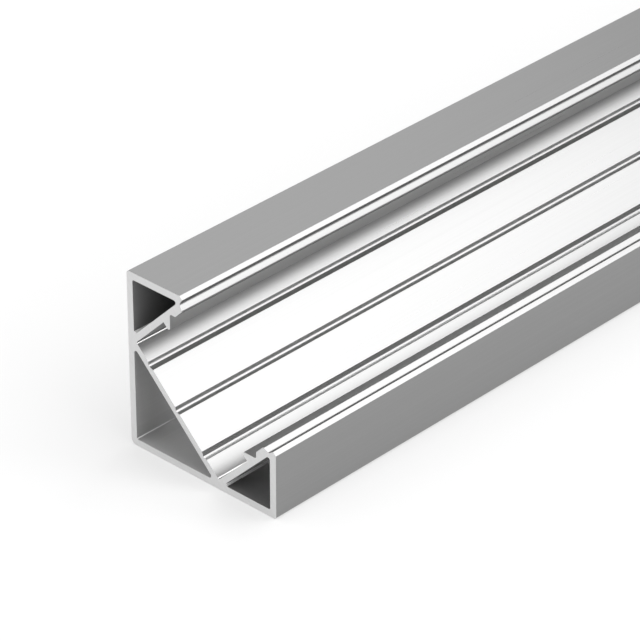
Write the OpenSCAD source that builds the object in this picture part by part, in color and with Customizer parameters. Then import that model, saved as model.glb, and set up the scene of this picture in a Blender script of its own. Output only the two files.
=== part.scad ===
// Corner LED strip profile: one length of extruded aluminium.
// Two outer faces go into an inside corner, and between them a channel faces
// the room at 45 degrees. A plate across the corner carries the strips, and
// hooks on both sides hold a snap-in cover.
// The bar lies along Y on its base face, with the heel corner at low X.

/* [Bar] */
// Length of the bar
bar_length = 1000; // [50:50:3000]
// Width of the base face and of the back face
leg = 30; // [28:0.5:40]
// Wall of the two outer faces round the end chambers
leg_wall = 1.2; // [0.8:0.05:1.6]
// Wall of the two outer faces behind the middle chamber
heel_wall = 1.15; // [0.8:0.05:1.6]
// Radius of the heel corner
heel_r = 1; // [0.2:0.1:2]
// Radius of the outer corners where the end faces start
toe_r = 0.5; // [0.1:0.1:1]

/* [Channel] */
// Clear width between the two walls of the channel
channel_w = 23.55; // [22:0.05:26]
// Metal between the foot of a channel wall and the outer face below it
root_wall = 1.65; // [1.3:0.05:2.2]
// Thickness of the walls on both sides of the channel
side_wall = 1.05; // [0.8:0.05:1.4]
// Thickness of the plate that carries the strips
plate_t = 1.05; // [0.8:0.05:1.6]
// Radius where the channel walls stand on the plate
root_r = 0.3; // [0.1:0.05:0.6]

/* [Strip lands] */
// Width between the two outer grooves, over both strip lands
lands_w = 14; // [10:0.1:16]
// Depth of the three grooves in the plate
groove_depth = 0.3; // [0.1:0.05:0.5]
// Width of the flat floor of a groove
groove_floor = 0.3; // [0.2:0.05:0.8]
// Width of each sloping side of the middle groove
groove_side = 0.5; // [0.3:0.05:0.8]
// Width of an outer groove's sloping side towards its land
land_side = 0.7; // [0.3:0.05:0.9]
// Width of an outer groove's sloping side towards the channel wall
band_side = 0.4; // [0.2:0.05:0.6]

/* [Cover hooks] */
// Width of a nose, from the channel wall out to the end face
nose_w = 1.7; // [1.5:0.05:2.2]
// Width of the flat on top of a nose
nose_flat = 0.75; // [0.5:0.05:0.9]
// Height of the step from the nose flat down to the lip
lip_step = 1; // [0.6:0.05:1.4]
// Lean of that step
step_lean = 0.2; // [0:0.05:0.3]
// Radius at the foot of that step
step_r = 0.4; // [0.1:0.05:0.5]
// How far the lip stands in from the channel wall
lip_reach = 0.4; // [0.2:0.05:0.8]
// Fall of the lip's sloping top
lip_slope = 0.45; // [0:0.05:0.8]
// Radius of the lip's inner edge
lip_r = 0.25; // [0.1:0.05:0.3]
// How far the hook stands in from the channel wall
hook_reach = 1.4; // [0.8:0.05:1.8]
// Height of the blunt tip of the hook
hook_tip = 0.45; // [0.35:0.05:0.7]
// Lean of the blunt tip
tip_lean = 0.15; // [0:0.05:0.3]
// Radius of the two edges of the blunt tip
tip_r = 0.15; // [0.05:0.05:0.25]
// Distance from the end face to the end of the cover notch
notch_wall = 3.95; // [3.7:0.05:4.4]
// Distance from the nose corner down to the floor of the cover notch
notch_drop = 2.1; // [1.6:0.05:2.4]
// Radius in the corner of the cover notch
notch_r = 0.35; // [0.1:0.05:0.5]

/* [Chambers] */
// Radius in the sharp corners of the three chambers
chamber_sharp_r = 0.4; // [0.2:0.05:0.6]
// Radius in the square corners of the three chambers
chamber_square_r = 0.3; // [0.1:0.05:0.6]

/* [Hidden] */
$fn = 48;
// Diagonal of a square for each unit of its side
diag = sqrt(2);
// Places across the channel, from its middle, and along the diagonal, from the heel
wall_in = channel_w / 2;
wall_out = wall_in + side_wall;
nose_out = wall_in + nose_w;
nose_top = leg * diag - nose_out;
plate_top = wall_in + root_wall * diag;
plate_bottom = plate_top - plate_t;
lip_in = wall_in - lip_reach;
lip_top = nose_top - lip_step;
hook_in = wall_in - hook_reach;
// Height of an end face, from the base up to its nose
end_face = leg - nose_out * diag;
// Inner corner of the cover notch, in the directions of the two legs
notch_x = leg - notch_wall;
notch_z = end_face - notch_drop;
// Room that a cut takes past the faces of the bar
past = 5;
// Overlap of an arc over its two sides, so that they join cleanly
lap = 0.001;

// Place of a point of the section, across the channel and along the diagonal
function across(p) = [(p[0] - p[1]) / diag, (p[0] + p[1]) / diag];
function unit(v) = v / norm(v);
// Angle at b between its two sides, and how far from b an arc of radius r starts
function bend(a, b, c) = acos(unit(a - b) * unit(c - b));
function run(a, b, c, r) = r / tan(bend(a, b, c) / 2);
function xy(p) = [p[0], p[1]];
// Centre of the arc that rounds the corner b
function arc_centre(a, b, c, r) =
    b + unit(unit(a - b) + unit(c - b)) * r / sin(bend(a, b, c) / 2);
// The two points where the arc at corner b starts and ends, or b itself if it is sharp
function arc_ends(a, b, c, r) =
    r > 0
        ? [b + unit(a - b) * run(a, b, c, r), b + unit(c - b) * run(a, b, c, r)]
        : [b];
function turns_left(a, b, c) = cross(b - a, c - b) > 0;

// A closed outline of corners [x, y, radius], anticlockwise, with true arcs
module outline(corners) {
    n = len(corners);
    before = [for (i = [0:n - 1]) xy(corners[(i + n - 1) % n])];
    at = [for (i = [0:n - 1]) xy(corners[i])];
    after = [for (i = [0:n - 1]) xy(corners[(i + 1) % n])];
    r = [for (i = [0:n - 1]) corners[i][2]];
    difference() {
        union() {
            polygon([for (i = [0:n - 1]) each arc_ends(before[i], at[i], after[i], r[i])]);
            for (i = [0:n - 1])
                if (r[i] > 0 && turns_left(before[i], at[i], after[i]))
                    translate(arc_centre(before[i], at[i], after[i], r[i]))
                        circle(r[i] + lap);
        }
        for (i = [0:n - 1])
            if (r[i] > 0 && !turns_left(before[i], at[i], after[i]))
                translate(arc_centre(before[i], at[i], after[i], r[i]))
                    circle(r[i] + lap);
    }
}

// Corners of the other half, in the order that closes the outline
function mirrored(half) =
    [for (i = [len(half) - 1:-1:0]) [-half[i][0], half[i][1], half[i][2]]];

module outer_form() {
    outline([
        [0, 0, heel_r],
        [leg, 0, toe_r],
        [leg, end_face, 0],
        [end_face, leg, 0],
        [0, leg, toe_r],
    ]);
}

// The open channel with its hooks, cover notches and lips
module channel() {
    notch = across([notch_x, notch_z]);
    tip_top = notch[1] - (notch[0] - hook_in);
    hook_under = tip_top - hook_tip;
    notch_up = notch[0] - lip_in;
    slope_in = lip_top - lip_slope;
    step_foot = nose_out - nose_flat - step_lean;
    lean = step_lean / lip_step;
    half = [
        [wall_in, plate_top, root_r],
        [wall_in, hook_under, 0],
        [hook_in + tip_lean, hook_under, tip_r],
        [hook_in, tip_top, tip_r],
        [notch[0], notch[1], notch_r],
        [lip_in, notch[1] + notch_up, 0],
        [lip_in, slope_in, lip_r],
        [step_foot, lip_top, step_r],
        [step_foot + (lip_step + past) * lean, nose_top + past, 0],
    ];
    rotate(-45) outline(concat(half, mirrored(half)));
}

// A groove of the plate, from where its floor starts, with the widths of its two
// sloping sides. The cut goes on past the plate's top face.
module groove(floor_from, side_before, side_after) {
    floor_to = floor_from + groove_floor;
    polygon([
        [floor_from, plate_top - groove_depth],
        [floor_to, plate_top - groove_depth],
        [floor_to + 2 * side_after, plate_top + groove_depth],
        [floor_from - 2 * side_before, plate_top + groove_depth],
    ]);
}

module grooves() {
    rotate(-45) {
        groove(-groove_floor / 2, groove_side, groove_side);
        for (side = [0, 1])
            mirror([side, 0])
                groove(lands_w / 2 + land_side, land_side, band_side);
    }
}

module middle_chamber() {
    reach = plate_bottom * diag - heel_wall;
    outline([
        [heel_wall, heel_wall, chamber_square_r],
        [reach, heel_wall, chamber_sharp_r],
        [heel_wall, reach, chamber_sharp_r],
    ]);
}

// Chamber between the base face, an end face and a wall of the channel
module end_chamber() {
    low = leg_wall;
    high = leg - leg_wall;
    outline([
        [low + wall_out * diag, low, chamber_sharp_r],
        [high, low, chamber_square_r],
        [high, high - wall_out * diag, chamber_sharp_r],
    ]);
}

module section() {
    difference() {
        outer_form();
        channel();
        grooves();
        middle_chamber();
        end_chamber();
        mirror([1, -1]) end_chamber();
    }
}

module led_profile() {
    color("#c9ccce")
        translate([-leg / 2, bar_length / 2, 0])
            rotate([90, 0, 0])
                linear_extrude(bar_length) section();
}

led_profile();
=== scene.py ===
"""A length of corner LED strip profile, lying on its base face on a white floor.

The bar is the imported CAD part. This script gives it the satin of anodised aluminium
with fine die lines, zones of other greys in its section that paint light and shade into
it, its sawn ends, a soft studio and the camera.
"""
import math
from functools import reduce

import bpy
from mathutils import Matrix, Vector


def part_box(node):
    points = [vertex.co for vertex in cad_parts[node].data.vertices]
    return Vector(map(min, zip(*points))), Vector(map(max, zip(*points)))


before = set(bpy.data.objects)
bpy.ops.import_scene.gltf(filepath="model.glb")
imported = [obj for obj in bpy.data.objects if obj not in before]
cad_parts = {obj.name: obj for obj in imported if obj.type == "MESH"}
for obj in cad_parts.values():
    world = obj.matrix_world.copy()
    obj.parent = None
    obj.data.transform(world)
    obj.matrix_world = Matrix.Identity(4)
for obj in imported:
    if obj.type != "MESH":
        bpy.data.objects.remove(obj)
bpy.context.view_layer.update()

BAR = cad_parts["led_profile"]
BAR_LOW, BAR_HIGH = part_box("led_profile")
LEG = BAR_HIGH.x - BAR_LOW.x
ROOT_HALF = math.sqrt(0.5)
WHITE = (1.0, 1.0, 1.0, 1.0)

# Places in the section, in metres along its diagonal from the heel corner
PLATE_MIDDLE = 0.0135
GROOVE_FLOOR = 0.01383
GROOVE_RIM = 0.01408
PLATE_TOP = 0.0142
HOOK_FOOT = 0.0225
NOTCH_TOP = 0.0254
LIP_TOP = 0.0273
NOSE_FOOT = 0.0276

# Places in the section, in metres across the channel from its middle
GROOVES_OUT = 0.009
LIP_IN = 0.0112
LIP_OUT = 0.0115
WALL_IN = 0.0116
WALL_MIDDLE = 0.0124

# Places in the section, in metres from the nearer of the base face and the back face
SKIN = 0.0008
HOOK_TOP = (0.00880, 0.00889)

# Thin painted highlights that run the length of the bar, on the fillets at the heel of the
# middle chamber, at a corner of the end chambers and at the channel roots: their place in
# the section, and their radius
HEEL_HIGHLIGHT = {"along": 0.00175, "across": 0.0, "radius": 0.0001}
CHAMBER_HIGHLIGHT = {"along": 0.01512, "across": 0.01307, "radius": 0.00021}
CHANNEL_ROOT_HIGHLIGHT = {"along": 0.01413, "across": 0.01158, "radius": 0.00015}

# Camera: its direction, its lens, and where the heel corner of the near end lies
CAMERA_AZIMUTH = math.radians(43.208)
CAMERA_ELEVATION = math.radians(31.108)
SENSOR_WIDTH = 36.0
FRAME_PIXELS = 640
FOCAL_PIXELS = 3634.2
HEEL_PIXEL = Vector((131.83, 442.52))
HEEL_DEPTH = 0.5448
CLIP_START = 0.01
CLIP_END = 100.0

# Studio: panels of light on the walls of a dim room. Each spans two ranges of angles in
# degrees: the turn about the bar's axis, up from +X, and the tilt towards +Y. A panel
# fades out from this many degrees inside its edge to as many outside.
ROOM_LEVEL = 0.46
PANEL_EDGE = 5
PANELS = {
    "softbox": {"turn": (-6, 106), "tilt": (26, 48.5), "level": 4.45},
    "reflector": {"turn": (118, 165), "tilt": (10, 47), "level": 1.34},
    "fill": {"turn": (108, 170), "tilt": (-75, -2), "level": 1.6},
    "overhead": {"turn": (25, 108), "tilt": (-75, -12), "level": 0.95},
    "front": {"turn": (-6, 106), "tilt": (-12, 21), "level": 2.2},
}

# Floor: white paint, and a share of plain white where it is seen or mirrored. It lies
# a hair under the bar, by the drop.
FLOOR_RADIUS = 40.0
FLOOR_CORNERS = 96
FLOOR_DROP = 0.00005
FLOOR_COLOUR = (0.68, 0.68, 0.68, 1.0)
FLOOR_WHITE_SHARE = 0.5

# Metal: satin outside, and zones with a grey and a roughness of their own. Every zone but
# the sawn ends paints light or shade into the grey: the grooves, the hook tops and thin
# highlight lines are lighter, the channel walls are darker, and each chamber has a grey of
# its own. The later zones lie over the earlier ones. A chamber's grey turns into its deep
# grey over the blend depth, in from the sawn ends. This is painted light that grows with
# depth in the lower and middle chambers, and painted shade that deepens in the upper one.
METAL_GREY = 0.28
METAL_ROUGHNESS = 0.28
BLEND_DEPTH = 0.012
ZONES = {
    # Painted light: the grooves are lighter than the metal, to lift their flanks, which mirror
    # the shaded channel walls
    "grooves": {"grey": 0.57, "roughness": 0.28},
    # Painted shade: the channel walls below the hooks and the lips' inner faces are darker, as
    # shade deep in the channel
    "painted_wall_shade": {"grey": 0.2, "roughness": 0.65},
    # Painted highlight: a lighter line along the fillets at the roots of the channel walls
    "painted_root_highlight": {"grey": 0.42, "roughness": 0.28},
    # Painted light: the tops of the hooks are lighter than the metal, to lift the dark shade they
    # mirror
    "painted_hook_top_light": {"grey": 0.41, "roughness": 0.28},
    # Painted light and shade in the chambers: each has a grey of its own, lighter with depth in
    # the lower and middle chambers as painted light, darker with depth in the upper chamber as
    # painted shade
    "upper_chamber_painted_shading": {"grey": 0.4, "deep_painted_grey": 0.26, "roughness": 1.0},
    "lower_chamber_painted_shading": {"grey": 0.25, "deep_painted_grey": 0.9, "roughness": 1.0},
    "middle_chamber": {"grey": 0.56, "deep_painted_grey": 0.97, "roughness": 1.0},
    # Painted highlights: near-white lines along the fillets at the heel of the middle chamber and
    # at a corner of the end chambers
    "painted_corner_highlights": {"grey": 0.97, "roughness": 1.0},
    "sawn_ends": {"grey": 0.69, "roughness": 0.6},
}

# A face is sawn where its normal's part along the bar passes this
SAWN_FACING = 0.5

# Die lines are drawn out along the bar, and saw marks run in arcs over the sawn ends. A
# tone is a share of the grey and of the roughness, and a height is in metres.
DIE_LINES_PER_METRE = 3500.0
DIE_LINE_STRETCH = 400.0
DIE_LINE_DETAIL = 3.0
DIE_LINE_TONE = 0.05
DIE_LINE_HEIGHT = 0.0000015
SAW_CENTRE = Vector((0.16, 0.0, 0.13))
SAW_MARKS_PER_METRE = 2200.0
SAW_MARK_DETAIL = 4.0
SAW_MARK_TONE = 0.05
SAW_MARK_HEIGHT = 0.000004


class Nodes:
    """Adds nodes to a tree and feeds their inputs with values or with other outputs."""

    def __init__(self, tree):
        self.tree = tree
        tree.nodes.clear()

    def add(self, kind, settings=None, **inputs):
        node = self.tree.nodes.new(kind)
        for name, value in (settings or {}).items():
            setattr(node, name, value)
        for name, value in inputs.items():
            self.feed(node, name.replace("_", " "), value)
        return node

    def feed(self, node, name, value):
        """Links an output into the named or numbered input, or sets its value."""
        socket = node.inputs[int(name)] if name.isdigit() else node.inputs[name]
        if isinstance(value, bpy.types.NodeSocket):
            self.tree.links.new(value, socket)
        else:
            socket.default_value = value

    def maths(self, operation, a, b=None):
        node = self.add("ShaderNodeMath", {"operation": operation})
        self.feed(node, "0", a)
        if b is not None:
            self.feed(node, "1", b)
        return node.outputs[0]

    def product(self, factors):
        return reduce(lambda a, b: self.maths("MULTIPLY", a, b), factors)

    def mix_value(self, factor, a, b):
        """Goes from a to b with the factor, over the node's inputs for plain numbers."""
        node = self.add("ShaderNodeMix")
        for index, value in ((0, factor), (2, a), (3, b)):
            self.feed(node, str(index), value)
        return node.outputs[0]

    def tone(self, noise, spread):
        """A factor that swings by the spread about 1 as the noise swings about a half."""
        return self.maths("ADD", self.maths("MULTIPLY", noise, 2 * spread), 1 - spread)

    def blend_range(self, value, from_min, from_max, to_min, to_max):
        """The value taken smoothly from the first range to the second."""
        smooth = {"interpolation_type": "SMOOTHSTEP"}
        ends = {"From_Min": from_min, "From_Max": from_max, "To_Min": to_min, "To_Max": to_max}
        return self.add("ShaderNodeMapRange", smooth, Value=value, **ends).outputs["Result"]


def panel_mask(nodes, angles, ranges):
    """1 inside a panel of light, 0 outside, with a soft edge."""
    fades = []
    for angle, (low, high) in zip(angles, ranges):
        middle = math.radians((low + high) / 2)
        inner = math.radians((high - low) / 2 - PANEL_EDGE)
        outer = math.radians((high - low) / 2 + PANEL_EDGE)
        from_middle = nodes.maths("ABSOLUTE", nodes.maths("SUBTRACT", angle, middle))
        fades.append(nodes.blend_range(from_middle, inner, outer, 1.0, 0.0))
    return nodes.product(fades)


def make_world():
    """A room without lamps: its walls glow dimly, and the panels brightly."""
    world = bpy.data.worlds.new("studio")
    bpy.context.scene.world = world
    world.use_nodes = True
    nodes = Nodes(world.node_tree)
    direction = nodes.add("ShaderNodeTexCoord").outputs["Generated"]
    x, y, z = nodes.add("ShaderNodeSeparateXYZ", Vector=direction).outputs
    turn, tilt = nodes.maths("ARCTAN2", z, x), nodes.maths("ARCSINE", y)
    level = ROOM_LEVEL
    for panel in PANELS.values():
        mask = panel_mask(nodes, (turn, tilt), (panel["turn"], panel["tilt"]))
        level = nodes.mix_value(mask, level, panel["level"])
    light = nodes.add("ShaderNodeBackground", Color=WHITE, Strength=level)
    nodes.add("ShaderNodeOutputWorld", Surface=light.outputs[0])


def make_floor():
    bpy.ops.mesh.primitive_circle_add(
        vertices=FLOOR_CORNERS,
        radius=FLOOR_RADIUS,
        fill_type="NGON",
        location=(0, 0, BAR_LOW.z - FLOOR_DROP),
    )
    floor = bpy.context.object
    floor.name = "floor"
    material = bpy.data.materials.new("floor_white")
    material.use_nodes = True
    nodes = Nodes(material.node_tree)
    paint = nodes.add("ShaderNodeBsdfDiffuse", Color=FLOOR_COLOUR)
    white = nodes.add("ShaderNodeEmission", Color=WHITE, Strength=1.0)
    rays = nodes.add("ShaderNodeLightPath").outputs
    mirrored = nodes.maths("MAXIMUM", rays["Is Glossy Ray"], rays["Is Transmission Ray"])
    seen = nodes.maths("MAXIMUM", rays["Is Camera Ray"], mirrored)
    mix = nodes.add("ShaderNodeMixShader", Fac=nodes.maths("MULTIPLY", seen, FLOOR_WHITE_SHARE))
    nodes.feed(mix, "1", paint.outputs[0])
    nodes.feed(mix, "2", white.outputs[0])
    nodes.add("ShaderNodeOutputMaterial", Surface=mix.outputs[0])
    floor.data.materials.append(material)


def within(nodes, limits):
    """1 where each value lies between its two limits."""
    tests = []
    for value, low, high in limits:
        tests.append(nodes.maths("GREATER_THAN", value, low))
        tests.append(nodes.maths("LESS_THAN", value, high))
    return nodes.product(tests)


def near(nodes, along, across, line):
    """1 within the radius of a line that runs the length of the bar."""
    offsets = (
        nodes.maths("SUBTRACT", along, line["along"]),
        nodes.maths("SUBTRACT", across, line["across"]),
    )
    squares = [nodes.maths("MULTIPLY", offset, offset) for offset in offsets]
    return nodes.maths("LESS_THAN", nodes.maths("ADD", *squares), line["radius"] ** 2)


def zone_masks(nodes, place, facing):
    """A mask for each zone of the metal, from the place in the section."""
    x = nodes.maths("SUBTRACT", place[0], BAR_LOW.x)
    z = nodes.maths("SUBTRACT", place[2], BAR_LOW.z)
    nearer = nodes.maths("MINIMUM", x, z)
    along = nodes.maths("MULTIPLY", nodes.maths("ADD", x, z), ROOT_HALF)
    # Negative on the side of the upper leg, positive on the side of the lower leg
    side = nodes.maths("MULTIPLY", nodes.maths("SUBTRACT", x, z), ROOT_HALF)
    across = nodes.maths("ABSOLUTE", side)
    core = [(x, SKIN, LEG - SKIN), (z, SKIN, LEG - SKIN)]
    below_nose = core + [(along, 0.0, NOSE_FOOT)]
    # The grooves' region, where light is painted in as a lighter grey
    grooves = [(along, GROOVE_FLOOR, GROOVE_RIM), (side, -GROOVES_OUT, GROOVES_OUT)]
    # The channel walls and the lips' inner faces, where shade is painted in
    wall_shade = within(nodes, [(along, PLATE_TOP, HOOK_FOOT), (across, WALL_IN, WALL_MIDDLE)])
    lip_shade = within(nodes, [(along, NOTCH_TOP, LIP_TOP), (across, LIP_IN, LIP_OUT)])
    # Masks for the painted highlight lines along the fillets of the heel, the end chambers'
    # corner and the channel roots
    heel_highlight, chamber_highlight, root_highlight = [
        near(nodes, along, across, line) for line in (HEEL_HIGHLIGHT, CHAMBER_HIGHLIGHT, CHANNEL_ROOT_HIGHLIGHT)
    ]
    # Most zones paint light or shade: lighter grooves, hook tops and highlight lines, darker
    # channel walls, and the chambers' greys
    return {
        "grooves": within(nodes, grooves),
        "painted_wall_shade": nodes.maths("MAXIMUM", wall_shade, lip_shade),
        "painted_root_highlight": root_highlight,
        "painted_hook_top_light": within(nodes, [(nearer, *HOOK_TOP), (along, HOOK_FOOT, NOTCH_TOP)]),
        # The chambers, where light and shade are painted into the grey
        "upper_chamber_painted_shading": within(nodes, below_nose + [(side, -LEG, -WALL_MIDDLE)]),
        "lower_chamber_painted_shading": within(nodes, below_nose + [(side, WALL_MIDDLE, LEG)]),
        "middle_chamber": within(nodes, core + [(along, 0.0, PLATE_MIDDLE)]),
        "painted_corner_highlights": nodes.maths("MAXIMUM", heel_highlight, chamber_highlight),
        "sawn_ends": nodes.maths("GREATER_THAN", nodes.maths("ABSOLUTE", facing[1]), SAWN_FACING),
    }


def die_lines(nodes, place):
    """Grey noise, drawn out along the bar."""
    fine = DIE_LINES_PER_METRE
    drawn_out = DIE_LINES_PER_METRE / DIE_LINE_STRETCH
    scaled = [nodes.maths("MULTIPLY", *pair) for pair in zip(place, (fine, drawn_out, fine))]
    point = nodes.add("ShaderNodeCombineXYZ", X=scaled[0], Y=scaled[1], Z=scaled[2]).outputs[0]
    noise = nodes.add("ShaderNodeTexNoise", Vector=point, Scale=1.0, Detail=DIE_LINE_DETAIL)
    return noise.outputs[0]


def saw_marks(nodes, place):
    """Grey noise in rings round a far centre, as a round blade leaves them."""
    flat = nodes.add("ShaderNodeCombineXYZ", X=place[0], Z=place[2])
    radius = nodes.add("ShaderNodeVectorMath", {"operation": "DISTANCE"})
    nodes.feed(radius, "0", flat.outputs[0])
    nodes.feed(radius, "1", SAW_CENTRE)
    count = nodes.maths("MULTIPLY", radius.outputs["Value"], SAW_MARKS_PER_METRE)
    rings = {"noise_dimensions": "1D"}
    noise = nodes.add("ShaderNodeTexNoise", rings, W=count, Scale=1.0, Detail=SAW_MARK_DETAIL)
    return noise.outputs[0]


def make_metal():
    material = bpy.data.materials.new("anodised_aluminium")
    material.use_nodes = True
    nodes = Nodes(material.node_tree)
    coordinates = nodes.add("ShaderNodeTexCoord").outputs
    place = nodes.add("ShaderNodeSeparateXYZ", Vector=coordinates["Object"]).outputs
    facing = nodes.add("ShaderNodeSeparateXYZ", Vector=coordinates["Normal"]).outputs

    masks = zone_masks(nodes, place, facing)
    from_end = nodes.maths("SUBTRACT", BAR_HIGH.y, nodes.maths("ABSOLUTE", place[1]))
    grey, roughness = METAL_GREY, METAL_ROUGHNESS
    for name, zone in ZONES.items():
        zone_grey = zone["grey"]
        # A chamber's painted light and shade change with the depth in from the sawn ends
        if "deep_painted_grey" in zone:
            deep_painted_grey = zone["deep_painted_grey"]
            zone_grey = nodes.blend_range(from_end, 0.0, BLEND_DEPTH, zone_grey, deep_painted_grey)
        grey = nodes.mix_value(masks[name], grey, zone_grey)
        roughness = nodes.mix_value(masks[name], roughness, zone["roughness"])

    sawn = masks["sawn_ends"]
    lines, marks = die_lines(nodes, place), saw_marks(nodes, place)
    line_tone, mark_tone = nodes.tone(lines, DIE_LINE_TONE), nodes.tone(marks, SAW_MARK_TONE)
    tone = nodes.mix_value(sawn, line_tone, mark_tone)
    line_height = nodes.maths("MULTIPLY", lines, DIE_LINE_HEIGHT)
    mark_height = nodes.maths("MULTIPLY", marks, SAW_MARK_HEIGHT)
    height = nodes.mix_value(sawn, line_height, mark_height)
    relief = nodes.add("ShaderNodeBump", Height=height, Distance=1.0, Strength=1.0)

    shader = nodes.add("ShaderNodeBsdfPrincipled", Metallic=1.0)
    nodes.feed(shader, "Base Color", nodes.maths("MULTIPLY", grey, tone))
    nodes.feed(shader, "Roughness", nodes.maths("MULTIPLY", roughness, tone))
    nodes.feed(shader, "Normal", relief.outputs[0])
    nodes.add("ShaderNodeOutputMaterial", Surface=shader.outputs[0])
    return material


def dress_bar():
    BAR.data.materials.clear()
    BAR.data.materials.append(make_metal())


def make_camera():
    """The camera stands where the heel corner of the near end falls on its pixel."""
    away = Vector((
        -math.sin(CAMERA_AZIMUTH) * math.cos(CAMERA_ELEVATION),
        math.cos(CAMERA_AZIMUTH) * math.cos(CAMERA_ELEVATION),
        -math.sin(CAMERA_ELEVATION),
    ))
    right = away.cross(Vector((0, 0, 1))).normalized()
    down = away.cross(right)
    offset = (HEEL_PIXEL - Vector((FRAME_PIXELS / 2, FRAME_PIXELS / 2))) / FOCAL_PIXELS
    place = BAR_LOW - HEEL_DEPTH * (away + right * offset.x + down * offset.y)
    data = bpy.data.cameras.new("camera")
    data.sensor_width = SENSOR_WIDTH
    data.lens = SENSOR_WIDTH * FOCAL_PIXELS / FRAME_PIXELS
    data.clip_start = CLIP_START
    data.clip_end = CLIP_END
    camera = bpy.data.objects.new("camera", data)
    turn = Matrix((right, -down, -away)).transposed().to_4x4()
    camera.matrix_world = Matrix.Translation(place) @ turn
    bpy.context.scene.collection.objects.link(camera)
    bpy.context.scene.camera = camera


make_camera()
make_world()
make_floor()
dress_bar()
bpy.context.scene.view_settings.view_transform = "Standard"
